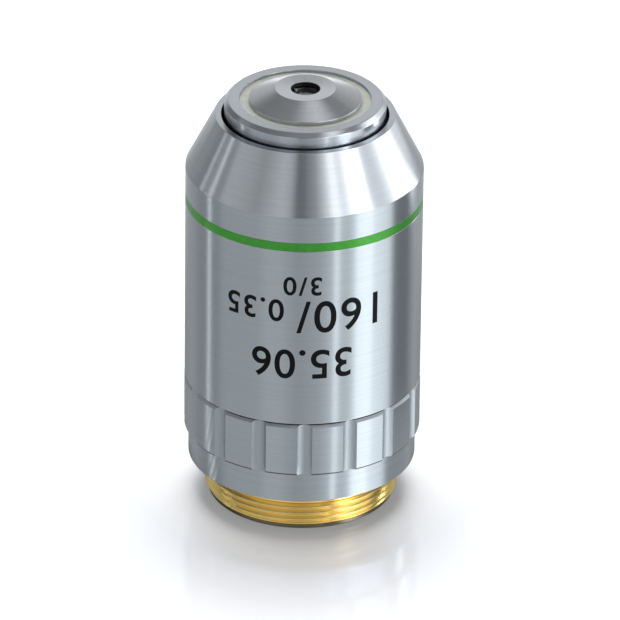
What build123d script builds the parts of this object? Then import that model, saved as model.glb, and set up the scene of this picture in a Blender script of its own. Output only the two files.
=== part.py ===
from build123d import *
import math
import os

# A microscope objective that stands on its rear ring, front lens up.
# Millimetres. +Z is the optical axis and z = 0 is the rear face. The marked side is -Y.
# Radial sizes start from the mounting thread and heights start from the rear face.

# Mounting thread and the brass body
thread_radius = 10.12
thread_length = 3.62
thread_lead = 0.30
thread_wall = 1.92
relief_depth = 0.57
relief_height = 0.45
body_step = 0.62
body_screw_length = 7.27
body_web_bore_step = 0.60
stop_face_height = 2.49

# Black rear ring
rear_ring_height = 0.69
rear_ring_setback = 0.37
rear_ring_edge = 0.12
rear_spigot_length = 2.40
rear_spigot_wall = 1.00
spigot_clearance = 0.30
spanner_slot_width = 1.20
spanner_slot_depth = 0.45

# Fluted grip ring with its plain lower band
band_height = 3.40
band_edge = 0.15
grip_height = 6.02
grip_step = 0.46
grip_stand_out = 0.04
grip_chamfer_depth = 0.50
grip_chamfer_height = 0.48
grip_lower_edge = 0.06
lip_thickness = 1.29
lip_clearance = 0.26
flute_count = 16
flute_width = 1.60
flute_depth = 0.42
flute_turn = 1.6

# Casing with its conical front
casing_wall = 1.30
casing_cylinder_length = 23.79
casing_cone_length = 5.88
casing_edge = 0.08
rim_width = 0.67
mouth_edge = 0.06
front_land_length = 6.20

# Green colour band in its groove
colour_band_drop = 2.87
colour_band_width = 0.97
colour_band_depth = 0.20

# Sprung inner barrel
barrel_travel = 2.00
barrel_stop_gap = 0.20
barrel_tail = 1.20
slide_clearance = 0.03
flange_clearance = 0.05
flange_thickness = 2.30
spring_space = 2.10
sleeve_wall = 1.50
sleeve_edge = 0.20
nose_wall = 0.95
nose_gap = 0.28
nose_stand_out = 1.66
nose_chamfer = 0.42
nose_land = 1.15
pocket_depth = 3.46
web_thickness = 1.20
web_width = 3.00

# Coil spring
wire_radius = 0.48
wire_sides = 8
spring_turns = 5.5

# Guide screws and the slots that they run in
guide_screw_radius = 0.80
guide_screw_drop = 3.60
guide_screw_recess = 0.12
guide_tip_gap = 0.15
guide_slot_depth = 0.90
guide_slot_clearance = 0.06
driver_slot_width = 0.30
driver_slot_depth = 0.40

# Front cell, its cement bead and the front lens
cement_width = 0.98
cement_drop = 0.25
cement_dip = 0.20
cap_rise = 1.26
cap_cone_height = 1.14
cap_flat_radius = 3.13
cap_dish = 0.10
cap_hole_radius = 1.51
cap_lip = 0.50
front_flange_thickness = 1.60
front_cell_wall = 2.56
front_lens_radius = 2.30
front_lens_edge = 1.10
front_lens_hollow_depth = 0.15
front_lens_bulge_height = 0.90

# Fits of the lens stack
cell_fit = 0.02
lens_fit = 0.02
cement_gap = 0.02
cell_lip_thickness = 0.80
cell_lip_width = 0.50

# Parfocal shim, spacers, stop and lock ring
shim_thickness = 0.30
shim_width = 1.20
front_spacer_length = 1.20
front_spacer_wall = 1.10
spacer_tube_wall = 1.00
stop_thickness = 0.50
stop_width = 2.78
lock_ring_height = 1.80
lock_ring_width = 1.60
lock_slot_width = 1.00
lock_slot_depth = 0.80

# Meniscus cell and lens
meniscus_cell_length = 4.80
meniscus_cell_wall = 1.90
meniscus_edge = 2.20
meniscus_hollow_depth = 0.70
meniscus_bulge_height = 1.30

# Front doublet
doublet_1_cell_length = 5.40
doublet_1_cell_wall = 1.50
doublet_1_crown_edge = 1.40
doublet_1_flint_edge = 2.30
doublet_1_front_bulge_height = 0.60
doublet_1_inner_bulge_height = 1.10
doublet_1_rear_hollow_depth = 0.30

# Rear doublet
doublet_2_cell_length = 5.40
doublet_2_cell_wall = 1.30
doublet_2_crown_edge = 1.60
doublet_2_flint_edge = 2.10
doublet_2_front_bulge_height = 0.50
doublet_2_inner_bulge_height = 0.90
doublet_2_rear_hollow_depth = 0.40

# Rear cell and lens
rear_cell_length = 4.20
rear_cell_wall = 1.70
rear_lens_edge = 1.80
rear_lens_hollow_depth = 0.50
rear_lens_bulge_height = 0.40

# How far a cutter runs past the surface that it cuts
overrun = 1.00

# Radii that follow from the sizes above
lip_bore_radius = thread_radius + lip_clearance
neck_radius = lip_bore_radius - cell_fit
body_radius = lip_bore_radius + body_step
casing_radius = body_radius + casing_wall
grip_radius = casing_radius + grip_stand_out
band_radius = grip_radius - grip_step
sleeve_radius = body_radius - spring_space
guide_bore_radius = sleeve_radius + slide_clearance
flange_radius = body_radius - flange_clearance
stack_radius = sleeve_radius - sleeve_wall
cell_radius = stack_radius - cell_fit
nose_radius = stack_radius + nose_wall
mouth_radius = nose_radius + nose_gap
rim_radius = mouth_radius + rim_width
web_bore_radius = stack_radius - web_width
stop_aperture_radius = cell_radius - stop_width
pocket_radius = nose_radius - nose_chamfer - nose_land
cap_radius = pocket_radius - cement_width
front_flange_radius = pocket_radius - cell_fit
front_cell_bore_radius = front_flange_radius - front_cell_wall
rear_bore_radius = thread_radius - thread_wall
rear_aperture_radius = rear_bore_radius - rear_spigot_wall
body_web_radius = rear_bore_radius - body_web_bore_step
rear_ring_radius = thread_radius - rear_ring_setback
flute_cut_radius = ((flute_width / 2) ** 2 + flute_depth**2) / (2 * flute_depth)
flute_centre_radius = grip_radius - flute_depth + flute_cut_radius
spring_radius = (sleeve_radius + body_radius) / 2

# Heights that follow from the sizes above
shoulder_z = rear_ring_height + thread_length
lip_top_z = shoulder_z + lip_thickness
grip_bottom_z = shoulder_z + band_height
casing_bottom_z = grip_bottom_z + grip_height
cone_base_z = casing_bottom_z + casing_cylinder_length
casing_top_z = cone_base_z + casing_cone_length
colour_top_z = cone_base_z - colour_band_drop
colour_bottom_z = colour_top_z - colour_band_width
stop_shoulder_z = casing_top_z - front_land_length
flange_bottom_z = stop_shoulder_z - flange_thickness
nose_top_z = casing_top_z + nose_stand_out
front_seat_z = nose_top_z - pocket_depth
stack_top_z = front_seat_z - web_thickness
cap_top_z = nose_top_z + cap_rise
cap_base_z = cap_top_z - cap_cone_height
front_lens_z = cap_top_z - cap_dish - cap_lip
body_top_z = casing_bottom_z + body_screw_length
stop_face_z = shoulder_z + stop_face_height
guide_screw_z = body_top_z - guide_screw_drop
barrel_rear_z = stop_face_z + barrel_travel + barrel_stop_gap

# The lens stack: from the front seat down, and from the lock ring up.
# The spacer tube takes up what is left between the two doublets.
meniscus_top_z = stack_top_z - shim_thickness
front_spacer_top_z = meniscus_top_z - meniscus_cell_length
doublet_1_top_z = front_spacer_top_z - front_spacer_length
spacer_tube_top_z = doublet_1_top_z - doublet_1_cell_length
lock_ring_bottom_z = barrel_rear_z + barrel_tail
rear_cell_bottom_z = lock_ring_bottom_z + lock_ring_height
rear_cell_top_z = rear_cell_bottom_z + rear_cell_length
stop_top_z = rear_cell_top_z + stop_thickness
doublet_2_top_z = stop_top_z + doublet_2_cell_length


def turned(*outline):
    """Solid of revolution about the optical axis, from a half section of (radius, height) points."""
    return revolve(Plane.XZ * make_face(Polyline(*outline, close=True)), Axis.Z)


def ring(outer, inner, bottom, top):
    """Plain ring between two radii and two heights."""
    return turned((inner, bottom), (outer, bottom), (outer, top), (inner, top))


def bar(length, width, bottom, top):
    """Block centred on the axis, for slots that cross a ring."""
    return Pos(0, 0, (bottom + top) / 2) * Box(length, width, top - bottom)


def radial_pin(radius, inner, outer, height):
    """Cylinder that points outwards along +X between two distances from the axis."""
    return Pos((inner + outer) / 2, 0, height) * Rot(0, 90, 0) * Cylinder(radius, outer - inner)


def on_both_sides(shape):
    """The shape and its copy half a turn on."""
    return [shape, Rot(0, 0, 180) * shape]


def lens(radius, edge_top, edge, top_bulge, bottom_bulge):
    """Lens turned about the axis: a bulge above zero is convex and one below zero is hollow."""
    edge_bottom = edge_top - edge
    top_pole = (0, edge_top + top_bulge)
    bottom_pole = (0, edge_bottom - bottom_bulge)
    section = (
        TangentArc(top_pole, (radius, edge_top), tangent=(1, 0))
        + Line((radius, edge_top), (radius, edge_bottom))
        + TangentArc(bottom_pole, (radius, edge_bottom), tangent=(1, 0))
        + Line(bottom_pole, top_pole)
    )
    return revolve(Plane.XZ * make_face(section), Axis.Z)


def lens_cell(top, length, wall):
    """Turned cell: a lip at the front that the lens seats on, and a plain bore behind it."""
    bore = cell_radius - wall
    lip_bore = bore - cell_lip_width
    lip_bottom = top - cell_lip_thickness
    bottom = top - length
    return turned(
        (bore, bottom),
        (cell_radius, bottom),
        (cell_radius, top),
        (lip_bore, top),
        (lip_bore, lip_bottom),
        (bore, lip_bottom),
    )


def lens_seat(cell_top, radius, front_bulge):
    """Height of a lens's front edge: a hollow face seats on the lip, a convex one on its corner."""
    lip_bottom = cell_top - cell_lip_thickness
    if front_bulge <= 0:
        return lip_bottom
    lip_bore = radius + lens_fit - cell_lip_width
    curve = (radius**2 + front_bulge**2) / (2 * front_bulge)
    height_at_lip = math.sqrt(curve**2 - lip_bore**2) - (curve - front_bulge)
    return lip_bottom - height_at_lip


def lens_in_cell(cell_top, wall, edge, front_bulge, rear_bulge):
    """Lens that seats on the lip of its cell."""
    radius = cell_radius - wall - lens_fit
    return lens(radius, lens_seat(cell_top, radius, front_bulge), edge, front_bulge, rear_bulge)


def doublet(cell_top, wall, crown_edge, flint_edge, front_bulge, inner_bulge, rear_hollow):
    """Crown and flint with one common curve between them, a film of cement apart."""
    radius = cell_radius - wall - lens_fit
    crown_top = lens_seat(cell_top, radius, front_bulge)
    flint_top = crown_top - crown_edge - cement_gap
    crown = lens(radius, crown_top, crown_edge, front_bulge, inner_bulge)
    flint = lens(radius, flint_top, flint_edge, -inner_bulge, -rear_hollow)
    return crown, flint


def make_casing():
    """Sleeve with a conical front, bored from behind up to the shoulder that stops the barrel."""
    groove_radius = casing_radius - colour_band_depth
    return turned(
        (body_radius, casing_bottom_z),
        (casing_radius - casing_edge, casing_bottom_z),
        (casing_radius, casing_bottom_z + casing_edge),
        (casing_radius, colour_bottom_z),
        (groove_radius, colour_bottom_z),
        (groove_radius, colour_top_z),
        (casing_radius, colour_top_z),
        (casing_radius, cone_base_z),
        (rim_radius, casing_top_z),
        (mouth_radius + mouth_edge, casing_top_z),
        (mouth_radius, casing_top_z - mouth_edge),
        (mouth_radius, stop_shoulder_z),
        (body_radius, stop_shoulder_z),
    )


def make_colour_band():
    """Enamel that fills the groove flush."""
    return ring(casing_radius, casing_radius - colour_band_depth, colour_bottom_z, colour_top_z)


def make_grip_ring():
    """Grip ring with lower band and inner lip, and flutes milled down almost to the band."""
    blank = turned(
        (lip_bore_radius, shoulder_z),
        (band_radius - band_edge, shoulder_z),
        (band_radius, shoulder_z + band_edge),
        (band_radius, grip_bottom_z),
        (grip_radius - grip_lower_edge, grip_bottom_z),
        (grip_radius, grip_bottom_z + grip_lower_edge),
        (grip_radius, casing_bottom_z - grip_chamfer_height),
        (grip_radius - grip_chamfer_depth, casing_bottom_z),
        (body_radius, casing_bottom_z),
        (body_radius, lip_top_z),
        (lip_bore_radius, lip_top_z),
    )
    cutter_height = grip_height + overrun
    cutter_place = Pos(0, 0, grip_bottom_z + cutter_height / 2)
    flutes = PolarLocations(flute_centre_radius, flute_count, flute_turn - 90)
    return blank - cutter_place * flutes * Cylinder(flute_cut_radius, cutter_height)


def make_mount_body():
    """Brass body: thread, relief, neck for the grip ring's lip, and bored guide for the barrel."""
    relief_radius = thread_radius - relief_depth
    rear_bore_top = rear_ring_height + rear_spigot_length + spigot_clearance
    blank = turned(
        (rear_bore_radius, rear_ring_height),
        (thread_radius - thread_lead, rear_ring_height),
        (thread_radius, rear_ring_height + thread_lead),
        (thread_radius, shoulder_z - relief_height),
        (relief_radius, shoulder_z - relief_height),
        (relief_radius, shoulder_z),
        (neck_radius, shoulder_z),
        (neck_radius, lip_top_z),
        (body_radius, lip_top_z),
        (body_radius, body_top_z),
        (guide_bore_radius, body_top_z),
        (guide_bore_radius, stop_face_z),
        (body_web_radius, stop_face_z),
        (body_web_radius, rear_bore_top),
        (rear_bore_radius, rear_bore_top),
    )
    inner = guide_bore_radius - overrun
    outer = body_radius + overrun
    screw_hole = radial_pin(guide_screw_radius, inner, outer, guide_screw_z)
    return blank - on_both_sides(screw_hole)


def make_rear_ring():
    """Black ring screwed into the rear bore, with two spanner slots in its standing face."""
    spigot_top = rear_ring_height + rear_spigot_length
    blank = turned(
        (rear_aperture_radius, 0),
        (rear_ring_radius - rear_ring_edge, 0),
        (rear_ring_radius, rear_ring_edge),
        (rear_ring_radius, rear_ring_height),
        (rear_bore_radius, rear_ring_height),
        (rear_bore_radius, spigot_top),
        (rear_aperture_radius, spigot_top),
    )
    slot_length = rear_bore_radius + rear_aperture_radius
    return blank - bar(slot_length, spanner_slot_width, 0, spanner_slot_depth)


def make_guide_screws():
    """Two headless screws through the mount body, each with a driver slot."""
    tip = sleeve_radius - guide_slot_depth + guide_tip_gap
    head = body_radius - guide_screw_recess
    slot_middle = head - driver_slot_depth / 2
    slot = Box(driver_slot_depth, 2 * guide_screw_radius + overrun, driver_slot_width)
    shank = radial_pin(guide_screw_radius, tip, head, guide_screw_z)
    screw = shank - Pos(slot_middle, 0, guide_screw_z) * slot
    return Compound(on_both_sides(screw))


def make_inner_barrel():
    """Sprung barrel: guided sleeve, stop flange, nose ring, and the web between pocket and stack."""
    blank = turned(
        (stack_radius, barrel_rear_z),
        (sleeve_radius - sleeve_edge, barrel_rear_z),
        (sleeve_radius, barrel_rear_z + sleeve_edge),
        (sleeve_radius, flange_bottom_z),
        (flange_radius, flange_bottom_z),
        (flange_radius, stop_shoulder_z),
        (nose_radius, stop_shoulder_z),
        (nose_radius, nose_top_z - nose_chamfer),
        (nose_radius - nose_chamfer, nose_top_z),
        (pocket_radius, nose_top_z),
        (pocket_radius, front_seat_z),
        (web_bore_radius, front_seat_z),
        (web_bore_radius, stack_top_z),
        (stack_radius, stack_top_z),
    )
    half_width = guide_screw_radius + guide_slot_clearance
    floor = sleeve_radius - guide_slot_depth
    outer = sleeve_radius + overrun
    low_end = radial_pin(half_width, floor, outer, guide_screw_z)
    high_end = Pos(0, 0, barrel_travel) * low_end
    middle_place = Pos((floor + outer) / 2, 0, guide_screw_z + barrel_travel / 2)
    middle = middle_place * Box(outer - floor, 2 * half_width, barrel_travel)
    slot = low_end + middle + high_end
    return blank - on_both_sides(slot)


def make_spring():
    """Coil spring with ground ends, between the mount body and the barrel's flange.

    The wire's section is an octagon, which is as round as a hidden coil needs.
    """
    seat_distance = flange_bottom_z - body_top_z
    pitch = seat_distance / spring_turns
    path = Helix(pitch, seat_distance + 2 * wire_radius, spring_radius)
    section = Plane(origin=path @ 0, z_dir=path % 0) * RegularPolygon(wire_radius, wire_sides)
    wire = Pos(0, 0, body_top_z - wire_radius) * sweep(section, path=path, is_frenet=True)
    reach = spring_radius + wire_radius + overrun
    return wire & Pos(0, 0, body_top_z + seat_distance / 2) * Cylinder(reach, seat_distance)


def make_front_cell():
    """Conical cap in one piece with its flange, bored for the front lens."""
    flange_top = front_seat_z + front_flange_thickness
    lens_bore = front_lens_radius + lens_fit
    lens_bore_bottom = front_lens_z - front_lens_edge - front_lens_bulge_height
    return turned(
        (front_cell_bore_radius, front_seat_z),
        (front_flange_radius, front_seat_z),
        (front_flange_radius, flange_top),
        (cap_radius, flange_top),
        (cap_radius, cap_base_z),
        (cap_flat_radius, cap_top_z),
        (cap_hole_radius, cap_top_z - cap_dish),
        (cap_hole_radius, front_lens_z),
        (lens_bore, front_lens_z),
        (lens_bore, lens_bore_bottom),
    )


def make_cement_bead():
    """Ring of set cement above the cell's flange, hollow between its two walls."""
    bottom = front_seat_z + front_flange_thickness
    top = nose_top_z - cement_drop
    middle = ((cap_radius + pocket_radius) / 2, top - cement_dip)
    section = (
        Polyline((cap_radius, top), (cap_radius, bottom), (pocket_radius, bottom), (pocket_radius, top))
        + ThreePointArc((pocket_radius, top), middle, (cap_radius, top))
    )
    return revolve(Plane.XZ * make_face(section), Axis.Z)


def make_front_lens():
    """Small strong lens right behind the hole of the cap, slightly hollow in front."""
    return lens(
        front_lens_radius, front_lens_z, front_lens_edge, -front_lens_hollow_depth, front_lens_bulge_height
    )


def make_aperture_stop():
    """Thin black disc with a bevelled opening."""
    bevel_radius = stop_aperture_radius + stop_thickness
    return turned(
        (stop_aperture_radius, stop_top_z),
        (cell_radius, stop_top_z),
        (cell_radius, rear_cell_top_z),
        (bevel_radius, rear_cell_top_z),
    )


def make_lock_ring():
    """Ring screwed in behind the stack, with a slot across its rear face for a fork spanner."""
    top = lock_ring_bottom_z + lock_ring_height
    blank = ring(stack_radius, stack_radius - lock_ring_width, lock_ring_bottom_z, top)
    slot_top = lock_ring_bottom_z + lock_slot_depth
    length = 2 * (stack_radius + overrun)
    return blank - bar(length, lock_slot_width, lock_ring_bottom_z, slot_top)


crown_1, flint_1 = doublet(
    doublet_1_top_z,
    doublet_1_cell_wall,
    doublet_1_crown_edge,
    doublet_1_flint_edge,
    doublet_1_front_bulge_height,
    doublet_1_inner_bulge_height,
    doublet_1_rear_hollow_depth,
)
crown_2, flint_2 = doublet(
    doublet_2_top_z,
    doublet_2_cell_wall,
    doublet_2_crown_edge,
    doublet_2_flint_edge,
    doublet_2_front_bulge_height,
    doublet_2_inner_bulge_height,
    doublet_2_rear_hollow_depth,
)

pieces = {
    "casing": make_casing(),
    "colour_band": make_colour_band(),
    "grip_ring": make_grip_ring(),
    "mount_body": make_mount_body(),
    "rear_ring": make_rear_ring(),
    "guide_screws": make_guide_screws(),
    "inner_barrel": make_inner_barrel(),
    "spring": make_spring(),
    "front_cell": make_front_cell(),
    "cement_bead": make_cement_bead(),
    "front_lens": make_front_lens(),
    "parfocal_shim": ring(cell_radius, cell_radius - shim_width, meniscus_top_z, stack_top_z),
    "meniscus_cell": lens_cell(meniscus_top_z, meniscus_cell_length, meniscus_cell_wall),
    "meniscus_lens": lens_in_cell(
        meniscus_top_z, meniscus_cell_wall, meniscus_edge, -meniscus_hollow_depth, meniscus_bulge_height
    ),
    "front_spacer": ring(
        cell_radius, cell_radius - front_spacer_wall, doublet_1_top_z, front_spacer_top_z
    ),
    "doublet_1_cell": lens_cell(doublet_1_top_z, doublet_1_cell_length, doublet_1_cell_wall),
    "doublet_1_crown": crown_1,
    "doublet_1_flint": flint_1,
    "spacer_tube": ring(
        cell_radius, cell_radius - spacer_tube_wall, doublet_2_top_z, spacer_tube_top_z
    ),
    "doublet_2_cell": lens_cell(doublet_2_top_z, doublet_2_cell_length, doublet_2_cell_wall),
    "doublet_2_crown": crown_2,
    "doublet_2_flint": flint_2,
    "aperture_stop": make_aperture_stop(),
    "rear_cell": lens_cell(rear_cell_top_z, rear_cell_length, rear_cell_wall),
    "rear_lens": lens_in_cell(
        rear_cell_top_z, rear_cell_wall, rear_lens_edge, -rear_lens_hollow_depth, rear_lens_bulge_height
    ),
    "lock_ring": make_lock_ring(),
}

os.makedirs("parts", exist_ok=True)
for node, shape in pieces.items():
    export_step(shape, f"parts/{node}.step")
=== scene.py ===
import math
import bpy
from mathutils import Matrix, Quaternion, Vector


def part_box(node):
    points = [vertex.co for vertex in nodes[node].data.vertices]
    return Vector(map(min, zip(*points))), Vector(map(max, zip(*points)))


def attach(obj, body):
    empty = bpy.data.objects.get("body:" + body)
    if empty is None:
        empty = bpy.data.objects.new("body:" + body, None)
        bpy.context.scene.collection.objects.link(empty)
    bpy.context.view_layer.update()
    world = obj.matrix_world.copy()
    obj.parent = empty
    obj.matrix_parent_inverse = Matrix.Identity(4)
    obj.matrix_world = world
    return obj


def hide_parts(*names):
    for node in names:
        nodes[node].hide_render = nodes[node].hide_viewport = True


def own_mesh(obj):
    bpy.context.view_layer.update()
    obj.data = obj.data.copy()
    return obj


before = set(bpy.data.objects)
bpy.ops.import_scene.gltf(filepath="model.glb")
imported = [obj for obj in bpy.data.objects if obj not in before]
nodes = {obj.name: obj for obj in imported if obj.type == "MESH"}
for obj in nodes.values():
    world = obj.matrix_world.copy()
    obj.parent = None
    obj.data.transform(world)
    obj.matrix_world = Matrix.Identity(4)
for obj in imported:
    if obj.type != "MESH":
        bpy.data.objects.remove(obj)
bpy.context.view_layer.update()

mm = 0.001


# Brass mount body. Turned from free-cutting brass bar, it carries the 0.8 inch by 36 threads per
# inch mounting thread at its rear, the neck that clamps the grip ring, and the bored guide in
# which the sprung barrel slides. It is left bright, so its ridges show gold lines and dark roots.
turned_sides = 192
pin_sides = 48
merge_distance = 0.002 * mm
near = 0.01 * mm
overrun = 1 * mm
edge_break = 0.04 * mm
fine_edge_break = 0.03 * mm
edge_facets = 2
sharp_angle = math.radians(25)
facet_angle = math.radians(6)
curve_angle = math.radians(35)


def outline_sizes(node):
    """Outer radius, lowest height and highest height of a solid of the frame."""
    low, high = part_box(node)
    return (high.x - low.x) / 2, low.z, high.z


def deselect():
    """Leaves object mode with nothing selected."""
    if bpy.context.object and bpy.context.object.mode != "OBJECT":
        bpy.ops.object.mode_set(mode="OBJECT")
    bpy.ops.object.select_all(action="DESELECT")


def pick(piece):
    """Selects one piece alone and makes it the active one."""
    deselect()
    piece.select_set(True)
    bpy.context.view_layer.objects.active = piece


def draw_rings(name, sides, outline):
    """Draws a ring at the first (radius, height) point and extrudes it on to each of the others."""
    deselect()
    radius, height = outline[0]
    bpy.ops.mesh.primitive_circle_add(vertices=sides, radius=radius, location=(0, 0, height))
    piece = bpy.context.object
    piece.name = name
    bpy.ops.object.transform_apply(location=True, rotation=True, scale=True)
    bpy.ops.object.mode_set(mode="EDIT")
    bpy.ops.mesh.select_all(action="SELECT")
    for next_radius, next_height in outline[1:]:
        bpy.ops.mesh.extrude_edges_move(TRANSFORM_OT_translate={"value": (0, 0, next_height - height)})
        factor = next_radius / radius
        bpy.ops.transform.resize(value=(factor, factor, 1), center_override=(0, 0, 0))
        radius, height = next_radius, next_height
    return piece


def turn(name, *outline):
    """Turns a closed half section of (radius, height) points, ring by ring, as on a lathe."""
    piece = draw_rings(name, turned_sides, outline + outline[:1])
    bpy.ops.mesh.select_all(action="SELECT")
    bpy.ops.mesh.remove_doubles(threshold=merge_distance)
    bpy.ops.mesh.normals_make_consistent(inside=False)
    bpy.ops.object.mode_set(mode="OBJECT")
    return piece


def drill(piece, cutter):
    """Takes the cutter's shape away from the piece."""
    pick(piece)
    cut = piece.modifiers.new("cut", "BOOLEAN")
    cut.object = cutter
    cut.solver = "EXACT"
    bpy.ops.object.modifier_apply(modifier=cut.name)
    bpy.data.objects.remove(cutter)


def round_edges(piece, width=edge_break, smooth_angle=facet_angle):
    """Breaks the sharp edges as a file would.

    At the facet angle each facet of a broken edge is shaded by itself, and the broad faces beside it
    stay flat and crisp in the light. The curve angle shades small rounded forms as one.
    """
    pick(piece)
    bevel = piece.modifiers.new("edges", "BEVEL")
    bevel.width = width
    bevel.segments = edge_facets
    bevel.limit_method = "ANGLE"
    bevel.angle_limit = sharp_angle
    bpy.ops.object.modifier_apply(modifier=bevel.name)
    bpy.ops.object.shade_smooth_by_angle(angle=smooth_angle)
    shading = piece.modifiers.new("shading", "WEIGHTED_NORMAL")
    shading.weight = 100
    shading.keep_sharp = True
    bpy.ops.object.modifier_apply(modifier=shading.name)


def cross_pins(name, radius, inner, outer, height):
    """Two short rods that point outwards along X, one on each side of the axis."""
    deselect()
    middle = (inner + outer) / 2
    for side in (1, -1):
        bpy.ops.mesh.primitive_cylinder_add(
            vertices=pin_sides, radius=radius, depth=outer - inner,
            location=(side * middle, 0, height), rotation=(0, side * math.pi / 2, 0),
        )
        bpy.context.object.name = name
        if side == 1:
            first = bpy.context.object
    first.select_set(True)
    bpy.ops.object.join()
    pins = bpy.context.object
    bpy.ops.object.transform_apply(location=True, rotation=True, scale=True)
    return pins


def srgb(code):
    """Linear colour of an sRGB hex value."""
    parts = [int(code[i:i + 2], 16) / 255 for i in (1, 3, 5)]
    return [p / 12.92 if p <= 0.04045 else ((p + 0.055) / 1.055) ** 2.4 for p in parts] + [1.0]


def add_node(tree, kind, settings=None, **links):
    """Adds a node, with its settings, and with an input for each further name or number."""
    node = tree.nodes.new(kind)
    for name, value in (settings or {}).items():
        setattr(node, name, value)
    for name, value in links.items():
        key = int(name[1:]) if name[0] == "_" else name.replace("_", " ")
        if isinstance(value, bpy.types.NodeSocket):
            tree.links.new(value, node.inputs[key])
        else:
            node.inputs[key].default_value = value
    return node


def new_material(name, code, metallic, roughness):
    """A new material of one colour and finish, and its main shader."""
    material = bpy.data.materials.new(name)
    material.use_nodes = True
    shader = material.node_tree.nodes["Principled BSDF"]
    shader.inputs["Base Color"].default_value = srgb(code)
    shader.inputs["Metallic"].default_value = metallic
    shader.inputs["Roughness"].default_value = roughness
    return material, shader


def turned_finish(shader, code, dark_code, tilt, mark_share):
    """Tool marks of a lathe: fine grooves that smear each reflection across them.

    The grooves are as far apart as the tool's feed, 0.05 mm, and change every 0.15 mm, so they are
    too fine to see one by one. Chance marks of the tool, 0.25 mm apart, show as faint rings.
    """
    groove = 0.05 * mm
    groove_length = 0.15 * mm
    mark = 0.25 * mm
    lean_low, lean_high = 0.2, 0.8
    mark_low, mark_high = 0.35, 0.65
    smear = 0.8
    tree = shader.id_data
    place = add_node(tree, "ShaderNodeTexCoord").outputs["Object"]
    normal = add_node(tree, "ShaderNodeNewGeometry").outputs["Normal"]
    around = add_node(tree, "ShaderNodeVectorMath", {"operation": "CROSS_PRODUCT"}, _0=(0, 0, 1), _1=place)
    radius = add_node(tree, "ShaderNodeVectorMath", {"operation": "LENGTH"}, _0=around.outputs[0])
    along = add_node(tree, "ShaderNodeVectorMath", {"operation": "NORMALIZE"}, _0=around.outputs[0])
    across = add_node(
        tree, "ShaderNodeVectorMath", {"operation": "CROSS_PRODUCT"}, _0=along.outputs[0], _1=normal
    )
    stretched = add_node(
        tree, "ShaderNodeVectorMath", {"operation": "MULTIPLY"},
        _0=place, _1=(1 / groove_length, 1 / groove_length, 1 / groove),
    )
    step = add_node(
        tree, "ShaderNodeMath", {"operation": "MULTIPLY"}, _0=radius.outputs["Value"], _1=1 / groove
    )
    grooves = add_node(
        tree, "ShaderNodeTexNoise", {"noise_dimensions": "4D"},
        Vector=stretched.outputs[0], W=step.outputs[0], Scale=1.0, Detail=1.0, Roughness=0.6,
    )
    lean = add_node(
        tree, "ShaderNodeMapRange", Value=grooves.outputs["Fac"],
        From_Min=lean_low, From_Max=lean_high, To_Min=-tilt, To_Max=tilt,
    )
    push = add_node(
        tree, "ShaderNodeVectorMath", {"operation": "SCALE"}, _0=across.outputs[0], Scale=lean.outputs[0]
    )
    leaning = add_node(tree, "ShaderNodeVectorMath", {"operation": "ADD"}, _0=normal, _1=push.outputs[0])
    final = add_node(tree, "ShaderNodeVectorMath", {"operation": "NORMALIZE"}, _0=leaning.outputs[0])
    height = add_node(tree, "ShaderNodeSeparateXYZ", Vector=place)
    section = add_node(
        tree, "ShaderNodeCombineXYZ", X=radius.outputs["Value"], Y=height.outputs["Z"], Z=0.0
    )
    marks = add_node(
        tree, "ShaderNodeTexNoise", {"noise_dimensions": "2D"},
        Vector=section.outputs[0], Scale=1 / mark, Detail=3.0, Roughness=0.7,
    )
    strength = add_node(
        tree, "ShaderNodeMapRange", Value=marks.outputs["Fac"],
        From_Min=mark_low, From_Max=mark_high, To_Min=0.0, To_Max=mark_share,
    )
    colour = add_node(
        tree, "ShaderNodeMix", {"data_type": "RGBA"}, Factor=strength.outputs[0],
        _6=srgb(code), _7=srgb(dark_code),
    )
    tree.links.new(colour.outputs[2], shader.inputs["Base Color"])
    tree.links.new(final.outputs[0], shader.inputs["Normal"])
    tree.links.new(across.outputs[0], shader.inputs["Tangent"])
    shader.inputs["Anisotropic"].default_value = smear


body_outer, body_bottom, body_top = outline_sizes("mount_body")
shoulder = outline_sizes("grip_ring")[1]
inch = 25.4 * mm
threads_per_inch = 36
thread_depth_share = 0.56
thread_crest = 0.97
thread_rows = 56
thread_radius = 10.12 * mm
lead_chamfer = 0.30 * mm
relief_height = 0.45 * mm
relief_depth = 0.57 * mm
collar_length = 1.06 * mm
undercut_width = 0.30 * mm
neck_radius = 10.36 * mm
neck_length = 1.29 * mm
guide_radius = 8.93 * mm
stop_face_height = 2.49 * mm
web_radius = 7.60 * mm
rear_bore = 8.20 * mm
rear_bore_depth = 2.70 * mm
skirt = 0.14 * mm

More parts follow.
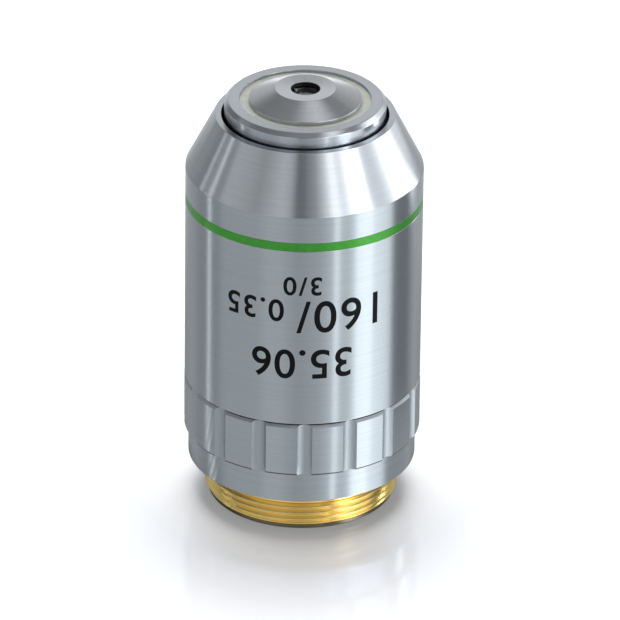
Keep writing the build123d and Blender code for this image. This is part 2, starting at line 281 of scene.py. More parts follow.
# The brass comes down round the top of the black ring, of which only a thin line shows. A full
# thread of this form is 0.64 of its pitch deep. This one is less, because its ridges are rounded.
body_bottom -= skirt
guide_floor = shoulder + stop_face_height
rear_bore_top = body_bottom + rear_bore_depth
collar_bottom = shoulder - collar_length
thread_pitch = inch / threads_per_inch
thread_depth = thread_depth_share * thread_pitch
thread_start = body_bottom + lead_chamfer / 4
thread_top = collar_bottom - undercut_width
thread_heights = [
    thread_start + (thread_top - thread_start) * row / thread_rows
    for row in range(thread_rows + 1)
]
mount_body = turn(
    "mount_body_threaded",
    (rear_bore, body_bottom),
    (thread_radius, body_bottom),
    *[(thread_radius, height) for height in thread_heights],
    (thread_radius - relief_depth, thread_top),
    (thread_radius - relief_depth, collar_bottom),
    (thread_radius, collar_bottom),
    (thread_radius, shoulder - relief_height),
    (thread_radius - relief_depth, shoulder - relief_height),
    (thread_radius - relief_depth, shoulder),
    (neck_radius, shoulder),
    (neck_radius, shoulder + neck_length),
    (body_outer, shoulder + neck_length),
    (body_outer, body_top),
    (guide_radius, body_top),
    (guide_radius, guide_floor),
    (web_radius, guide_floor),
    (web_radius, rear_bore_top),
    (rear_bore, rear_bore_top),
)

# The ridges wind up to the right. Their flanks are straight, with rounded crests and roots.
for vertex in mount_body.data.vertices:
    radius = math.hypot(vertex.co.x, vertex.co.y)
    if abs(radius - thread_radius) > near or vertex.co.z > thread_top + near:
        continue
    turns = math.atan2(vertex.co.y, vertex.co.x) / math.tau
    wave = math.cos(math.tau * (vertex.co.z / thread_pitch - turns))
    ridge = 0.5 + 0.5 * math.asin(thread_crest * wave) / math.asin(thread_crest)
    chamfered = thread_radius - lead_chamfer + (vertex.co.z - body_bottom)
    cut_radius = min(thread_radius - thread_depth * (1 - ridge), chamfered)
    vertex.co.x *= cut_radius / radius
    vertex.co.y *= cut_radius / radius

screw_radius = 0.80 * mm
screw_drop = 3.60 * mm
screw_height = body_top - screw_drop
screw_drill = cross_pins(
    "screw_drill", screw_radius, guide_radius - overrun, body_outer + overrun, screw_height
)
drill(mount_body, screw_drill)
round_edges(mount_body, width=fine_edge_break, smooth_angle=curve_angle)

# Bare turned brass has a warm gold colour, deeper where the tool left its marks.
brass, brass_shader = new_material("machined brass", "#ECCD80", metallic=1.0, roughness=0.22)
turned_finish(brass_shader, "#F2D488", "#DBB968", tilt=0.12, mark_share=0.4)
mount_body.data.materials.append(brass)
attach(mount_body, "housing")
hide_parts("mount_body")


# Rear ring. A thin black anodised aluminium ring with two spanner slots, screwed into the rear of
# the body. The objective stands on it, and it shows as a dark line under the brass.
ring_radius, ring_bottom, ring_top = outline_sizes("rear_ring")
flange_top = body_bottom
ring_aperture = 7.20 * mm
ring_edge = 0.12 * mm
slot_width = 1.20 * mm
slot_depth = 0.45 * mm

rear_ring = turn(
    "rear_ring_slotted",
    (ring_aperture, ring_bottom),
    (ring_radius - ring_edge, ring_bottom),
    (ring_radius, ring_bottom + ring_edge),
    (ring_radius, flange_top),
    (rear_bore, flange_top),
    (rear_bore, ring_top),
    (ring_aperture, ring_top),
)
deselect()
bpy.ops.mesh.primitive_cube_add(size=1, location=(0, 0, 0))
bpy.ops.transform.resize(value=(ring_aperture + rear_bore, slot_width, 2 * slot_depth))
bpy.ops.object.transform_apply(location=True, rotation=True, scale=True)
drill(rear_ring, bpy.context.object)
round_edges(rear_ring, width=fine_edge_break)

# Black anodising that handling has worn thin looks dark brown, with a soft shine of metal.
anodised, anodised_shader = new_material(
    "worn black anodised aluminium", "#665D4A", metallic=1.0, roughness=0.40
)
turned_finish(anodised_shader, "#6C624C", "#514A3A", tilt=0.12, mark_share=0.5)
rear_ring.data.materials.append(anodised)
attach(rear_ring, "housing")
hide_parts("rear_ring")


# Fluted grip ring. Turned brass with a satin chrome plate, and sixteen shallow flutes milled
# through its upper edge down to the plain lower band. A lip inside it is clamped by the body.
grip_outer, grip_bottom, grip_top = outline_sizes("grip_ring")
lip_radius = 10.38 * mm
band_height = 3.40 * mm
band_step = 0.46 * mm
band_edge = 0.15 * mm
land_undercut = 0.10 * mm
land_edge = 0.18 * mm
chamfer_depth = 0.50 * mm
chamfer_height = 0.48 * mm
flute_count = 16
flute_width = 1.60 * mm
flute_depth = 0.42 * mm
flute_turn = math.radians(1.6)
seam_reach = 0.26 * mm
seam_height = 0.23 * mm
mill_sides = 64
band_top = grip_bottom + band_height
band_radius = grip_outer - band_step
land_bottom = band_top + land_edge

grip_ring = turn(
    "grip_ring_fluted",
    (lip_radius, grip_bottom),
    (band_radius - band_edge, grip_bottom),
    (band_radius, grip_bottom + band_edge),
    (band_radius, band_top),
    (grip_outer - land_undercut, band_top),
    (grip_outer, land_bottom),
    (grip_outer, grip_top - chamfer_height),
    (grip_outer - seam_reach, grip_top - seam_height),
    (grip_outer - chamfer_depth, grip_top - seam_height),
    (grip_outer - chamfer_depth, grip_top),
    (body_outer, grip_top),
    (body_outer, shoulder + neck_length),
    (lip_radius, shoulder + neck_length),
)

cutter_radius = ((flute_width / 2) ** 2 + flute_depth**2) / (2 * flute_depth)
cutter_centre = grip_outer - flute_depth + cutter_radius
cutter_height = grip_top - band_top + overrun
deselect()
for flute in range(flute_count):
    angle = flute_turn - math.pi / 2 + math.tau * flute / flute_count
    bpy.ops.mesh.primitive_cylinder_add(
        vertices=mill_sides, radius=cutter_radius, depth=cutter_height,
        location=(
            cutter_centre * math.cos(angle),
            cutter_centre * math.sin(angle),
            band_top + cutter_height / 2,
        ),
    )
    if flute == 0:
        mill = bpy.context.object
    else:
        bpy.context.object.select_set(True)
        mill.select_set(True)
        bpy.context.view_layer.objects.active = mill
        bpy.ops.object.join()
drill(grip_ring, mill)

# Satin chrome is a cool, light metal whose turned grooves draw each lamp out into an upright band.
chrome, chrome_shader = new_material(
    "satin chrome plate", "#ACB2B8", metallic=1.0, roughness=0.20
)
turned_finish(chrome_shader, "#AEB3B9", "#9EA4AA", tilt=0.06, mark_share=0.25)


def mottle(shader, grain, detail, code, other_code):
    """Lets a surface drift between two colours over the width of a grain, and gives back the drift."""
    tree = shader.id_data
    place = add_node(tree, "ShaderNodeTexCoord").outputs["Object"]
    noise = add_node(tree, "ShaderNodeTexNoise", None, Vector=place, Scale=1 / grain, Detail=detail)
    colour = add_node(
        tree, "ShaderNodeMix", {"data_type": "RGBA"}, Factor=noise.outputs["Fac"],
        _6=srgb(code), _7=srgb(other_code),
    )
    tree.links.new(colour.outputs[2], shader.inputs["Base Color"])
    return noise.outputs["Fac"]


# The milled faces under the same plate are rougher and look matte. The seam below the casing and
# the undercut below each land get a dark mottled material that is painted shade.
milled, milled_shader = new_material(
    "satin chrome plate on milled brass", "#A6ABB1", metallic=1.0, roughness=0.44
)
mottle(milled_shader, 0.15 * mm, 2.0, "#ADB2B8", "#9DA2A8")
seam_shade, seam_shade_shader = new_material(
    "painted shade in the seam and under the lands", "#2E2A24", metallic=0.0, roughness=0.5
)
mottle(seam_shade_shader, 0.5 * mm, 3.0, "#221F1B", "#4A443A")
for material in (chrome, milled, seam_shade):
    grip_ring.data.materials.append(material)
for polygon in grip_ring.data.polygons:
    radius = math.hypot(polygon.center.x, polygon.center.y)
    height = polygon.center.z
    in_seam = height > grip_top - seam_height - near and radius > grip_outer - chamfer_depth - near
    under_land = band_top < height < land_bottom and radius > grip_outer - land_undercut
    cut_back = grip_outer - flute_depth - near < radius < grip_outer - near
    # The seam and the undercut under each land take the dark painted shade.
    if in_seam or under_land:
        polygon.material_index = 2
    elif height > land_bottom and cut_back:
        polygon.material_index = 1
round_edges(grip_ring, width=fine_edge_break)
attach(grip_ring, "housing")
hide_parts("grip_ring")


# Casing. A turned brass sleeve with a conical front and an open mouth, satin chrome plated like
# the grip ring, and screwed down on the body until it meets the grip ring in a fine seam.
casing_radius, casing_bottom, casing_top = outline_sizes("casing")
cone_length = 5.88 * mm
rim_radius = 9.30 * mm
mouth_radius = 8.63 * mm
front_land_length = 6.20 * mm
colour_depth = 0.20 * mm
cone_base = casing_top - cone_length
stop_shoulder = casing_top - front_land_length
band_outer, colour_bottom, colour_top = outline_sizes("colour_band")

casing = turn(
    "casing_turned",
    (body_outer, casing_bottom),
    (casing_radius, casing_bottom),
    (casing_radius, colour_bottom),
    (casing_radius - colour_depth, colour_bottom),
    (casing_radius - colour_depth, colour_top),
    (casing_radius, colour_top),
    (casing_radius, cone_base),
    (rim_radius, casing_top),
    (mouth_radius, casing_top),
    (mouth_radius, stop_shoulder),
    (body_outer, stop_shoulder),
)
round_edges(casing)
casing.data.materials.append(chrome)
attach(casing, "housing")
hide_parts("casing")


# Colour band. Green enamel laid in a shallow groove of the casing, and turned flush when it is hard.
# It is glossy, and thin enough for the metal under it to light it up where a lamp is reflected.
colour_band = turn(
    "colour_band_enamel",
    (band_outer - colour_depth, colour_bottom),
    (band_outer, colour_bottom),
    (band_outer, colour_top),
    (band_outer - colour_depth, colour_top),
)
enamel_edge = 0.02 * mm
round_edges(colour_band, width=enamel_edge)
enamel, enamel_shader = new_material("green enamel", "#3A9A2C", metallic=0.45, roughness=0.30)
mottle(enamel_shader, 0.6 * mm, 2.0, "#45A632", "#36902A")
colour_band.data.materials.append(enamel)
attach(colour_band, "housing")
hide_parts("colour_band")


# Markings. Plain numbers, engraved in the casing and filled with black paint. They are upside down
# here, because the objective hangs the other way up in use.
paint_height = 0.012 * mm
paint_depth = 0.03 * mm
mark_front = casing_radius + paint_height
mark_back = casing_radius - paint_depth
bend_step = 0.25 * mm
stroke_swell = 0.045 * mm
stroke_merge = 0.001 * mm
curve_steps = 6


def engrave(name, text, size, middle, base, spacing):
    """Writes plain numbers round the casing, upside down, with their feet at the base height.

    Their middle is at an angle in degrees to the right of the front.
    """
    deselect()
    bpy.ops.object.text_add(location=(0, 0, 0))
    writing = bpy.context.object
    writing.data.body = text
    writing.data.size = size
    writing.data.align_x = "CENTER"
    writing.data.space_character = spacing
    writing.data.extrude = (mark_front - mark_back) / 2
    writing.data.resolution_u = curve_steps
    writing.data.offset = stroke_swell
    bpy.ops.object.convert(target="MESH")
    marks = bpy.context.object
    marks.name = name
    reach = max(abs(vertex.co.x) for vertex in marks.data.vertices)
    bpy.ops.object.mode_set(mode="EDIT")
    bpy.ops.mesh.select_all(action="SELECT")
    bpy.ops.mesh.remove_doubles(threshold=stroke_merge)
    steps = int(reach / bend_step)
    for step in range(-steps, steps + 1):
        bpy.ops.mesh.select_all(action="SELECT")
        bpy.ops.mesh.bisect(plane_co=(step * bend_step, 0, 0), plane_no=(1, 0, 0))
    bpy.ops.object.mode_set(mode="OBJECT")
    for vertex in marks.data.vertices:
        across, up, out = vertex.co
        angle = math.radians(middle) - across / casing_radius
        radius = (mark_front + mark_back) / 2 + out
        vertex.co = (radius * math.sin(angle), -radius * math.cos(angle), base - up)
    return marks


marks = [
    engrave("marks_top", "3/0", size=2.9 * mm, middle=0, base=30.7 * mm, spacing=1.15),
    engrave("marks_large", "160/", size=5.1 * mm, middle=20, base=27.9 * mm, spacing=1.1),
    engrave("marks_small", "0.35", size=3.5 * mm, middle=-24, base=28.0 * mm, spacing=1.1),
    engrave("marks_bottom", "35.06", size=4.7 * mm, middle=0, base=22.3 * mm, spacing=1.05),
]
deselect()
for mark in marks:
    mark.select_set(True)
bpy.context.view_layer.objects.active = marks[0]
bpy.ops.object.join()
markings = bpy.context.object
markings.name = "markings"

# Matte black paint that gives back almost no light.
fill, fill_shader = new_material("black engraving paint", "#050609", metallic=0.0, roughness=0.60)
fill_shader.inputs["Specular IOR Level"].default_value = 0.12
markings.data.materials.clear()
markings.data.materials.append(fill)
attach(markings, "housing")


# Sprung inner barrel. Chrome plated brass, turned in one piece: the sleeve that slides in the body,
# the flange that stops at the casing's shoulder, and the chamfered nose ring that stands out.
flange_radius, barrel_rear, nose_top = outline_sizes("inner_barrel")
nose_radius = 8.35 * mm
nose_chamfer = 0.42 * mm
pocket_radius = 6.78 * mm
pocket_depth = 3.46 * mm
web_bore = 4.40 * mm
web_thickness = 1.20 * mm
stack_radius = 7.40 * mm
sleeve_radius = 8.90 * mm
sleeve_edge = 0.20 * mm
flange_thickness = 2.30 * mm
slide_slot_depth = 0.90 * mm
slide_slot_half_width = 0.86 * mm
slide_travel = 2.00 * mm
pocket_floor = nose_top - pocket_depth
stack_top = pocket_floor - web_thickness
flange_bottom = stop_shoulder - flange_thickness

inner_barrel = turn(
    "inner_barrel_turned",
    (stack_radius, barrel_rear),
    (sleeve_radius - sleeve_edge, barrel_rear),
    (sleeve_radius, barrel_rear + sleeve_edge),
    (sleeve_radius, flange_bottom),
    (flange_radius, flange_bottom),
    (flange_radius, stop_shoulder),
    (nose_radius, stop_shoulder),
    (nose_radius, nose_top - nose_chamfer),
    (nose_radius - nose_chamfer, nose_top),
    (pocket_radius, nose_top),
    (pocket_radius, pocket_floor),
    (web_bore, pocket_floor),
    (web_bore, stack_top),
    (stack_radius, stack_top),
)
slot_floor = sleeve_radius - slide_slot_depth
slot_outer = sleeve_radius + overrun
for lift in (0, slide_travel):
    drill(
        inner_barrel,
        cross_pins("slot_end", slide_slot_half_width, slot_floor, slot_outer, screw_height + lift),
    )
for side in (1, -1):
    deselect()
    bpy.ops.mesh.primitive_cube_add(
        size=1, location=(side * (slot_floor + slot_outer) / 2, 0, screw_height + slide_travel / 2)
    )
    bpy.ops.transform.resize(value=(slot_outer - slot_floor, 2 * slide_slot_half_width, slide_travel))
    bpy.ops.object.transform_apply(location=True, rotation=True, scale=True)
    drill(inner_barrel, bpy.context.object)
round_edges(inner_barrel)
inner_barrel.data.materials.append(chrome)
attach(inner_barrel, "lens_barrel")
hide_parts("inner_barrel")


# Front cell. The conical cap of chrome plated brass, in one piece with the flange that sits in the
# barrel's pocket. It is finely turned, nearly polished, with a small dished face round the hole.
cap_flange, cap_seat, cap_top = outline_sizes("front_cell")
cap_flange_height = 1.60 * mm
cap_radius = 5.80 * mm
cap_rise = 1.14 * mm
cap_flat = 3.13 * mm
cap_dish = 0.10 * mm
cap_hole = 1.51 * mm
cap_hole_depth = 0.50 * mm
cap_bore = 4.20 * mm
lens_bore = 2.32 * mm
lens_bore_depth = 2.00 * mm
cap_flange_top = cap_seat + cap_flange_height
cap_base = cap_top - cap_rise
hole_edge = cap_top - cap_dish
lens_seat = hole_edge - cap_hole_depth
lens_bore_bottom = lens_seat - lens_bore_depth

front_cell = turn(
    "front_cell_turned",
    (cap_bore, cap_seat),
    (cap_flange, cap_seat),
    (cap_flange, cap_flange_top),
    (cap_radius, cap_flange_top),
    (cap_radius, cap_base),
    (cap_flat, cap_top),
    (cap_hole, hole_edge),
    (cap_hole, lens_seat),
    (lens_bore, lens_seat),
    (lens_bore, lens_bore_bottom),
)

# The inside of the cap is chemically blackened, nearly matte, so that the hole looks dark.
black_brass, black_brass_shader = new_material(
    "blackened brass", "#1C1B1A", metallic=0.6, roughness=0.5
)
turned_finish(black_brass_shader, "#201F1D", "#141312", tilt=0.15, mark_share=0.5)
fine_chrome, fine_shader = new_material(
    "fine turned chrome plate", "#B4B8BD", metallic=1.0, roughness=0.19
)
turned_finish(fine_shader, "#B6BABE", "#ACB0B4", tilt=0.05, mark_share=0.3)
front_cell.data.materials.append(fine_chrome)
front_cell.data.materials.append(black_brass)
facing_up = 0.5
for polygon in front_cell.data.polygons:
    inside = math.hypot(polygon.center.x, polygon.center.y) < cap_bore + near
    if inside and polygon.center.z < hole_edge - near and polygon.normal.z < facing_up:
        polygon.material_index = 1
round_edges(front_cell)
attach(front_cell, "lens_barrel")
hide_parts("front_cell")


# Cement bead. Cream optical cement that was run into the gap between the cap and the nose ring,
# and set with a hollow, slightly waxy surface.
bead_outer, bead_bottom, bead_top = outline_sizes("cement_bead")
bead_dip = 0.07 * mm
bead_middle = (cap_radius + bead_outer) / 2
bead_half = (bead_outer - cap_radius) / 2
bead_steps = 8
bead_curve = []
for step in range(bead_steps + 1):
    share = 1 - 2 * step / bead_steps
    bead_curve.append((bead_middle + share * bead_half, bead_top - bead_dip * (1 - share**2)))

cement_bead = turn(
    "cement_bead_set",
    (cap_radius, bead_bottom),
    (bead_outer, bead_bottom),
    *bead_curve,
)
pick(cement_bead)
bpy.ops.object.shade_smooth_by_angle(angle=curve_angle)

# Set cement is waxy: light goes a little way into it, and its skin shines and dips unevenly.
cement, cement_shader = new_material(
    "cream optical cement", "#86877F", metallic=0.0, roughness=0.22
)
cement_tree = cement.node_tree
cement_lumps = mottle(cement_shader, 0.8 * mm, 3.0, "#A3A59E", "#8F918A")
cement_bump = add_node(
    cement_tree, "ShaderNodeBump", None, Strength=0.25, Distance=0.03 * mm, Height=cement_lumps
)
cement_tree.links.new(cement_bump.outputs[0], cement_shader.inputs["Normal"])
cement_shader.inputs["Specular IOR Level"].default_value = 1.0
cement_shader.inputs["Subsurface Weight"].default_value = 0.3
cement_shader.inputs["Subsurface Scale"].default_value = 0.4 * mm
cement_bead.data.materials.append(cement)
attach(cement_bead, "lens_barrel")
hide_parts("cement_bead")


# Lenses. Polished optical glass with a magnesium fluoride coating, which keeps its reflections weak.
# The front lens has a hollow face; the others keep the frame's exact curves.
glass, glass_shader = new_material(
    "coated optical glass", "#E8ECF4", metallic=0.0, roughness=0.02
)
glass_shader.inputs["Transmission Weight"].default_value = 1.0
glass_shader.inputs["IOR"].default_value = 1.52
glass_shader.inputs["Specular IOR Level"].default_value = 0.15
lens_radius, lens_bottom, lens_top = outline_sizes("front_lens")
lens_hollow = 0.15 * mm
lens_edge = 1.10 * mm
lens_pole = 0.002 * mm
lens_steps = 12
lens_edge_bottom = lens_top - lens_edge
lens_bulge = lens_edge_bottom - lens_bottom
lens_shares = [step / lens_steps for step in range(1, lens_steps)]
front_lens = turn(
    "front_lens_polished",
    (lens_pole, lens_top - lens_hollow),
    *[(share * lens_radius, lens_top - lens_hollow * (1 - share**2)) for share in lens_shares],
    (lens_radius, lens_top),
    (lens_radius, lens_edge_bottom),
    *[
        (share * lens_radius, lens_edge_bottom - lens_bulge * (1 - share**2))
        for share in reversed(lens_shares)
    ],
    (lens_pole, lens_bottom),
)
pick(front_lens)
bpy.ops.object.shade_smooth_by_angle(angle=curve_angle)
front_lens.data.materials.append(glass)
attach(front_lens, "lens_barrel")
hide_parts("front_lens")


def make_of(material, *names):
    """Gives hidden pieces, which keep the frame's meshes, the material that they are made of."""
    for name in names:
        nodes[name].data.materials.clear()
        nodes[name].data.materials.append(material)


make_of(
    glass, "meniscus_lens", "doublet_1_crown", "doublet_1_flint",
    "doublet_2_crown", "doublet_2_flint", "rear_lens",
)


# Lens cells, spacers and lock ring. Turned brass, chemically blackened so that no light is thrown
# back inside. The aperture stop is black anodised aluminium and the focusing shim is plain brass.
make_of(
    black_brass, "meniscus_cell", "front_spacer", "doublet_1_cell", "spacer_tube",
    "doublet_2_cell", "rear_cell", "lock_ring",
)
make_of(anodised, "aperture_stop")
make_of(brass, "parfocal_shim")


# Spring and guide screws. Drawn spring wire, coiled and ground flat at both ends, and two small
# headless steel screws. Both are plain bright steel. The spring shortens as the barrel goes down.
steel, steel_shader = new_material(
    "bright spring steel", "#A9A8A6", metallic=1.0, roughness=0.30
)
mottle(steel_shader, 0.5 * mm, 2.0, "#B1B0AE", "#989795")
make_of(steel, "spring", "guide_screws")
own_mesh(nodes["spring"])


# Floor. A pale sheet of glossy card, which holds the shadow. It shines least right at the foot, most
# a few millimetres out from it, where it mirrors the objective, and less again further off. A small
# share of its own light keeps it white to the camera and in reflections.
floor_size = 6.0
floor_drop = 0.02 * mm
floor_share = 0.21
gloss_foot = 0.25
gloss_near = 0.20
gloss_far = 0.08
gloss_start = 12 * mm
gloss_full = 18 * mm
gloss_end = 46 * mm
deselect()
bpy.ops.mesh.primitive_plane_add(size=floor_size, location=(0, 0, -floor_drop))
floor = bpy.context.object
floor.name = "floor_sheet"
bpy.ops.object.transform_apply(location=True, rotation=True, scale=True)
sheet, sheet_shader = new_material(
    "white glossy card", "#F2F3F5", metallic=0.0, roughness=0.9
)
sheet_tree = sheet.node_tree
sheet_shader.inputs["Specular IOR Level"].default_value = 0.0


def seen_share(tree, share):
    """Gives a share to what the camera, reflections and glass see, and nothing to soft light."""
    path = add_node(tree, "ShaderNodeLightPath")
    direct = add_node(
        tree, "ShaderNodeMath", {"operation": "ADD", "use_clamp": True},
        _0=path.outputs["Is Camera Ray"], _1=path.outputs["Is Glossy Ray"],
    )
    every = add_node(
        tree, "ShaderNodeMath", {"operation": "ADD", "use_clamp": True},
        _0=direct.outputs[0], _1=path.outputs["Is Transmission Ray"],
    )
    shown = add_node(tree, "ShaderNodeMath", {"operation": "MULTIPLY"}, _0=every.outputs[0], _1=share)
    return shown.outputs[0]


sheet_shader.inputs["Emission Color"].default_value = srgb("#FFFFFF")
sheet_tree.links.new(seen_share(sheet_tree, floor_share), sheet_shader.inputs["Emission Strength"])
sheet_place = add_node(sheet_tree, "ShaderNodeTexCoord").outputs["Object"]
sheet_radius = add_node(sheet_tree, "ShaderNodeVectorMath", {"operation": "LENGTH"}, _0=sheet_place)
sheet_gloss = add_node(
    sheet_tree, "ShaderNodeMapRange", {"interpolation_type": "SMOOTHSTEP"},
    Value=sheet_radius.outputs["Value"], From_Min=gloss_full, From_Max=gloss_end,
    To_Min=gloss_near, To_Max=gloss_far,
)
sheet_foot = add_node(
    sheet_tree, "ShaderNodeMapRange", {"interpolation_type": "SMOOTHSTEP"},
    Value=sheet_radius.outputs["Value"], From_Min=gloss_start, From_Max=gloss_full,
    To_Min=gloss_foot, To_Max=1.0,
)
sheet_blend = add_node(
    sheet_tree, "ShaderNodeMath", {"operation": "MULTIPLY"},
    _0=sheet_gloss.outputs[0], _1=sheet_foot.outputs[0],
)
sheet_mirror = add_node(sheet_tree, "ShaderNodeBsdfAnisotropic", None, Color=srgb("#E6EDFF"), Roughness=0.10)
sheet_mix = add_node(
    sheet_tree, "ShaderNodeMixShader", None,
    _0=sheet_blend.outputs[0], _1=sheet_shader.outputs[0], _2=sheet_mirror.outputs[0],
)
sheet_tree.links.new(sheet_mix.outputs[0], sheet_tree.nodes["Material Output"].inputs["Surface"])
floor.data.materials.append(sheet)


# Studio. A drum of lit and grey card stands round the object with a ceiling over it, and a low tray
# of card close round the foot. They are what the metal reflects: its upright bands of light and
# dark. The camera and soft light don't see them.

# Levels are brightnesses, at angles in degrees from the front, positive to the right. For the foot,
# tray and drum an angle is the way in which the casing's side sends the camera's view, and for the
# top of the drum it is the card's own.
foot_levels = (
    (-180, 0.40), (-125, 0.22), (-90, 0.34), (-72, 0.74), (-30, 0.86), (-12, 0.70), (8, 0.68),
    (22, 0.88), (28, 1.05), (33, 0.70), (44, 0.70), (51, 1.20), (60, 3.80), (70, 4.60), (78, 3.40),
    (86, 1.80), (94, 0.90), (104, 0.50), (180, 0.50),
)
tray_levels = (
    (-180, 0.72), (-166, 0.66), (-154, 0.53), (-132, 0.50), (-118, 0.42), (-106, 0.38),
    (-104.5, 2.40), (-103.5, 2.40), (-102, 0.38), (-99, 0.42), (-92, 0.46), (-84, 0.62),
    (-46, 0.63), (-34, 0.74), (-20, 0.72), (-6, 0.58), (0, 0.60), (16, 0.70), (24, 0.86),
    (29, 1.05), (31, 1.70), (34, 1.70),
    (37, 1.05), (44, 0.98), (49, 1.20), (54, 2.05), (69, 2.25), (73, 1.75), (84, 1.60), (92, 1.42),
    (96, 0.80), (99, 0.34), (107, 0.27), (121, 0.26), (130, 0.46), (139, 0.56), (154, 0.56),
    (166, 0.62), (180, 0.72),
)
drum_levels = (
    (-180, 1.10), (-165, 0.80), (-148, 0.55), (-139, 0.46), (-128, 0.50), (-114, 0.40),
    (-112, 1.20), (-111, 1.20), (-108.5, 0.48), (-101, 0.48), (-98.5, 1.45), (-97.5, 1.45), (-95, 0.42),
    (-88, 0.48), (-84, 0.76), (-58, 0.66), (-48, 0.56), (-38, 0.70), (-24, 0.94), (-16, 0.86),
    (-10, 0.56), (-8, 0.26), (0, 0.26), (4, 0.42), (12, 0.58), (17, 0.90), (24, 1.50), (29, 2.45),
    (34, 2.45), (38, 1.75), (42, 1.75), (47, 2.50), (51, 3.10), (65, 3.10), (69, 1.60), (76, 1.35),
    (84, 1.42), (92, 2.00), (97, 3.10), (118, 3.10), (124, 2.10), (130, 1.50), (148, 1.35),
    (180, 1.10),
)
top_levels = (
    (-180, 0.30), (-30, 0.28), (0, 0.40), (34, 0.50), (44, 1.50), (60, 1.50), (70, 0.40),
    (125, 0.40), (180, 0.38),
)

# Behind the object the levels follow the height in metres, with more in the very middle.
behind_levels = (
    (-1, 0.90), (0.02, 0.90), (0.05, 0.76), (0.15, 0.70), (0.21, 0.68), (0.27, 0.56),
    (0.34, 0.40), (1, 0.38),
)
middle_levels = (
    (-1, 1.20), (0.02, 1.20), (0.05, 0.10), (0.15, 0.20), (0.20, 0.45), (0.30, 0.45),
    (0.34, 0), (1, 0),
)

card_lift = 0.05 * mm
foot_distance = 16.2 * mm
tray_start = 9.8 * mm
tray_distance = 41 * mm
tray_top = 36 * mm
tray_rings = (12.0, 14.2, 16.0, 17.2, 20.0, 24.0, 29.0, 35.0)
tray_walls = (21.5, 23.5)
drum_distance = 0.42
drum_top = 0.42
drum_sides = 720
drum_floor_rings = (0.06, 0.10, 0.20)
drum_walls = (0.02, 0.05, 0.15, 0.19, 0.22, 0.24, 0.27, 0.30, 0.33, 0.36, 0.39)


def level_at(levels, angle):
    """Brightness at an angle, between the two levels beside it."""
    for (start, low), (end, high) in zip(levels, levels[1:]):
        if start <= angle <= end:
            return low + (high - low) * (angle - start) / (end - start)


def sent_from(angle, distance):
    """The way in which the casing's side sends the view that meets a card at an angle and distance.

    Each round works it out from the last round's answer, until it no longer changes.
    """
    rounds = 40
    sent = angle
    for step in range(rounds):
        sent = angle + math.degrees(math.asin(casing_radius * math.sin(math.radians(sent / 2)) / distance))
    return max(-180, min(180, sent))


def strip(angle, middle, half_width):
    """One in the middle of an upright strip of card, and nought from its edges on."""
    return max(0, 1 - abs(angle - middle) / half_width)


def tray_level(place):
    """The tray lights the casing and the grip ring, and its middle, round the foot, the brass.

    Its floor is darker behind the object, and never less than pale grey close by on the right. A
    strip high on its wall puts a glint on the nose.
    """
    floor_limit = 1 * mm
    dark_start, dark_fade, dark_least = 140, 20, 0.6
    pale_start, pale_end, pale_distance, pale_level = 94, 130, 30 * mm, 0.50
    glint_height, glint_angle, glint_half_width, glint_level = 22 * mm, 110, 8, 5.0
    angle = math.degrees(math.atan2(place.x, -place.y))
    distance = math.hypot(place.x, place.y)
    levels = foot_levels if distance < foot_distance else tray_levels
    sent = sent_from(angle, max(distance, casing_radius))
    level = level_at(levels, sent)
    if place.z < floor_limit and abs(sent) > dark_start:
        level *= max(dark_least, 1 - (1 - dark_least) * (abs(sent) - dark_start) / dark_fade)
    if distance < pale_distance and pale_start < sent < pale_end:
        level = max(level, pale_level)
    if place.z > glint_height:
        level += glint_level * strip(angle, glint_angle, glint_half_width)
    return level


def drum_level(place):
    """The drum lights the cone and the nose. Behind the object its levels go by the height.

    Towards its top it turns to the levels of the top. It is darker high on the left, and a strip
    on the right puts a glint on the nose.
    """
    top_start, top_fade = 0.29, 0.11
    left_height, left_start, left_end, left_share = 0.1, -150, -110, 0.6
    glint_bottom, glint_top, glint_angle, glint_half_width, glint_level = 0.23, 0.32, 61, 9, 8.0
    behind_start, behind_fade, middle_half_width = 138, 12, 16
    angle = math.degrees(math.atan2(place.x, -place.y))
    side = level_at(drum_levels, sent_from(angle, math.hypot(place.x, place.y)))
    rise = max(0, min(1, (place.z - top_start) / top_fade))
    side += (level_at(top_levels, angle) - side) * rise
    if place.z > left_height and left_start < angle < left_end:
        side *= left_share
    if glint_bottom < place.z < glint_top:
        side += glint_level * strip(angle, glint_angle, glint_half_width)
    middle = strip(abs(angle), 180, middle_half_width)
    behind = level_at(behind_levels, place.z) + middle * level_at(middle_levels, place.z)
    return side + (behind - side) * max(0, min(1, (abs(angle) - behind_start) / behind_fade))


def ceiling_level(place):
    """Dim card with two soft lamps, one behind the object on the right and one before it."""
    lamps = ((0.075, 0.085, 0.165, 0.80), (0.21, -0.16, 0.135, 1.90))
    base, slope, side_fall = 0.42, 0.06, 0.14
    across = place.x / drum_distance
    level = base + slope * across - side_fall * min(1, abs(across))
    for x, y, reach, gain in lamps:
        nearness = max(0, 1 - math.hypot(place.x - x, place.y - y) / reach)
        level += gain * nearness**2 * (3 - 2 * nearness)
    return level


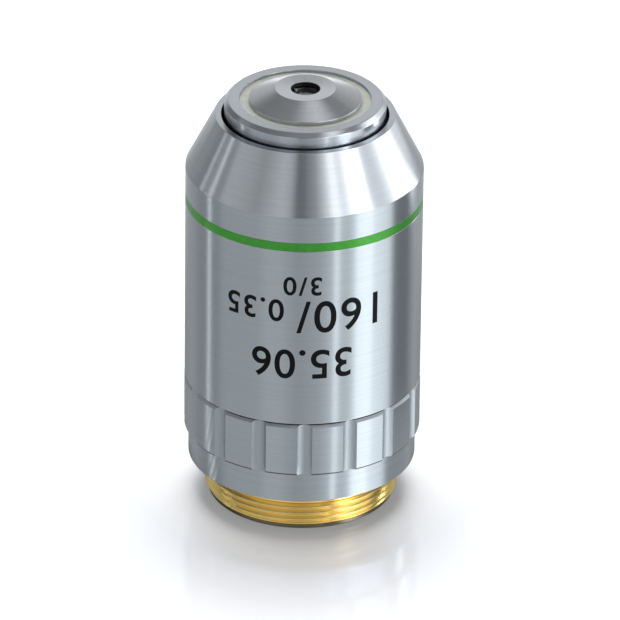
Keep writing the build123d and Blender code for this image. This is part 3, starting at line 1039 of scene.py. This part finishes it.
def lit_card(name, code):
    """Card that glows on the side that faces the object, at the level that its mesh gives."""
    material = bpy.data.materials.new(name)
    material.use_nodes = True
    tree = material.node_tree
    tree.nodes.clear()
    level = add_node(tree, "ShaderNodeAttribute", {"attribute_name": "level"})
    path = add_node(tree, "ShaderNodeLightPath")
    direct = add_node(
        tree, "ShaderNodeMath", {"operation": "SUBTRACT", "use_clamp": True},
        _0=1.0, _1=path.outputs["Diffuse Depth"],
    )
    shown = add_node(
        tree, "ShaderNodeMath", {"operation": "MULTIPLY"}, _0=level.outputs["Fac"], _1=direct.outputs[0]
    )
    glow = add_node(tree, "ShaderNodeEmission", None, Color=srgb(code), Strength=shown.outputs[0])
    clear = add_node(tree, "ShaderNodeBsdfTransparent")
    side = add_node(tree, "ShaderNodeNewGeometry")
    both = add_node(
        tree, "ShaderNodeMixShader", None,
        _0=side.outputs["Backfacing"], _1=glow.outputs[0], _2=clear.outputs[0],
    )
    add_node(tree, "ShaderNodeOutputMaterial", None, Surface=both.outputs[0])
    return material


def show_in_reflections(piece, material, level):
    """Makes a stage piece glow for reflections alone, on the side that faces the object."""
    pick(piece)
    above_object = Vector((0, 0, 0.1))
    face = piece.data.polygons[0]
    if face.normal.dot(above_object - face.center) < 0:
        bpy.ops.object.mode_set(mode="EDIT")
        bpy.ops.mesh.select_all(action="SELECT")
        bpy.ops.mesh.flip_normals()
        bpy.ops.object.mode_set(mode="OBJECT")
    levels = piece.data.attributes.new("level", "FLOAT", "POINT")
    for vertex in piece.data.vertices:
        levels.data[vertex.index].value = level(vertex.co)
    piece.data.materials.append(material)
    piece.visible_camera = False
    piece.visible_shadow = False
    piece.visible_diffuse = False


def bowl(name, *outline):
    """Turns an open half section, from the middle outwards and up."""
    piece = draw_rings(name, drum_sides, outline)
    bpy.ops.object.mode_set(mode="OBJECT")
    return piece


neutral_card = lit_card("neutral lit card", "#FFFFFF")
cool_card = lit_card("cool lit card", "#F8FEFF")
tray = bowl(
    "studio_tray",
    (tray_start, card_lift),
    *[(ring * mm, card_lift) for ring in tray_rings],
    (tray_distance, card_lift),
    *[(tray_distance, wall * mm) for wall in tray_walls],
    (tray_distance, tray_top),
)
show_in_reflections(tray, cool_card, tray_level)
drum = bowl(
    "studio_drum",
    (tray_distance, card_lift),
    *[(ring, card_lift) for ring in drum_floor_rings],
    (drum_distance, card_lift),
    *[(drum_distance, wall) for wall in drum_walls],
    (drum_distance, drum_top),
)
show_in_reflections(drum, neutral_card, drum_level)
ceiling_size = 2.1 * drum_distance
ceiling_squares = 60
deselect()
bpy.ops.mesh.primitive_grid_add(
    x_subdivisions=ceiling_squares, y_subdivisions=ceiling_squares,
    size=ceiling_size, location=(0, 0, drum_top),
)
ceiling = bpy.context.object
ceiling.name = "studio_ceiling"
bpy.ops.object.transform_apply(location=True, rotation=True, scale=True)
show_in_reflections(ceiling, neutral_card, ceiling_level)

# A wide soft lamp above and a little behind the object lights the floor and casts the soft shadow.
lamp_back = 0.22
lamp_height = 0.75
lamp_width = 0.60
lamp_watts = 7.4
overhead = bpy.data.lights.new("lamp_overhead", "AREA")
overhead.shape = "DISK"
overhead.size = lamp_width
overhead.energy = lamp_watts
overhead_lamp = bpy.data.objects.new("lamp_overhead", overhead)
overhead_lamp.location = (0, lamp_back, lamp_height)
overhead_lamp.rotation_euler = (math.atan2(-lamp_back, lamp_height), 0, 0)
overhead_lamp.visible_glossy = False
bpy.context.scene.collection.objects.link(overhead_lamp)

# The air is white to the camera, to reflections and through glass, and a soft grey light otherwise.
white_air = (1.0, 1.0, 1.0, 1.0)
soft_air = (0.27, 0.27, 0.27, 1.0)
world = bpy.data.worlds.new("studio air")
bpy.context.scene.world = world
world.use_nodes = True
world_tree = world.node_tree
world_tree.nodes.clear()
world_colour = add_node(
    world_tree, "ShaderNodeMix", {"data_type": "RGBA"}, Factor=seen_share(world_tree, 1.0),
    _6=soft_air, _7=white_air,
)
background = add_node(world_tree, "ShaderNodeBackground", None, Color=world_colour.outputs[2], Strength=1.0)
add_node(world_tree, "ShaderNodeOutputWorld", None, Surface=background.outputs[0])


# Camera. A long lens that looks down on the marked side, turned by two thirds of a degree, as in
# the picture. The picture's scale is given in its pixels for each millimetre at the aim.
camera_distance = 0.80
camera_pitch = math.radians(27.66)
camera_roll = math.radians(0.69)
aim = Vector((0.73 * mm, 0, 20.60 * mm))
pixels_per_mm = 9.615
frame_pixels = 620
camera_data = bpy.data.cameras.new("camera")
camera_data.sensor_width = 36
camera_data.lens = pixels_per_mm / mm * camera_distance * camera_data.sensor_width / frame_pixels
camera_data.clip_start = 0.01
camera_data.clip_end = 20
camera = bpy.data.objects.new("camera", camera_data)
look = Vector((0, math.cos(camera_pitch), -math.sin(camera_pitch)))
camera.location = aim - look * camera_distance
camera.rotation_mode = "QUATERNION"
camera.rotation_quaternion = look.to_track_quat("-Z", "Y")
camera.rotation_quaternion.rotate(Quaternion(look, -camera_roll))
bpy.context.scene.collection.objects.link(camera)
bpy.context.scene.camera = camera
bpy.context.scene.view_settings.view_transform = "Standard"
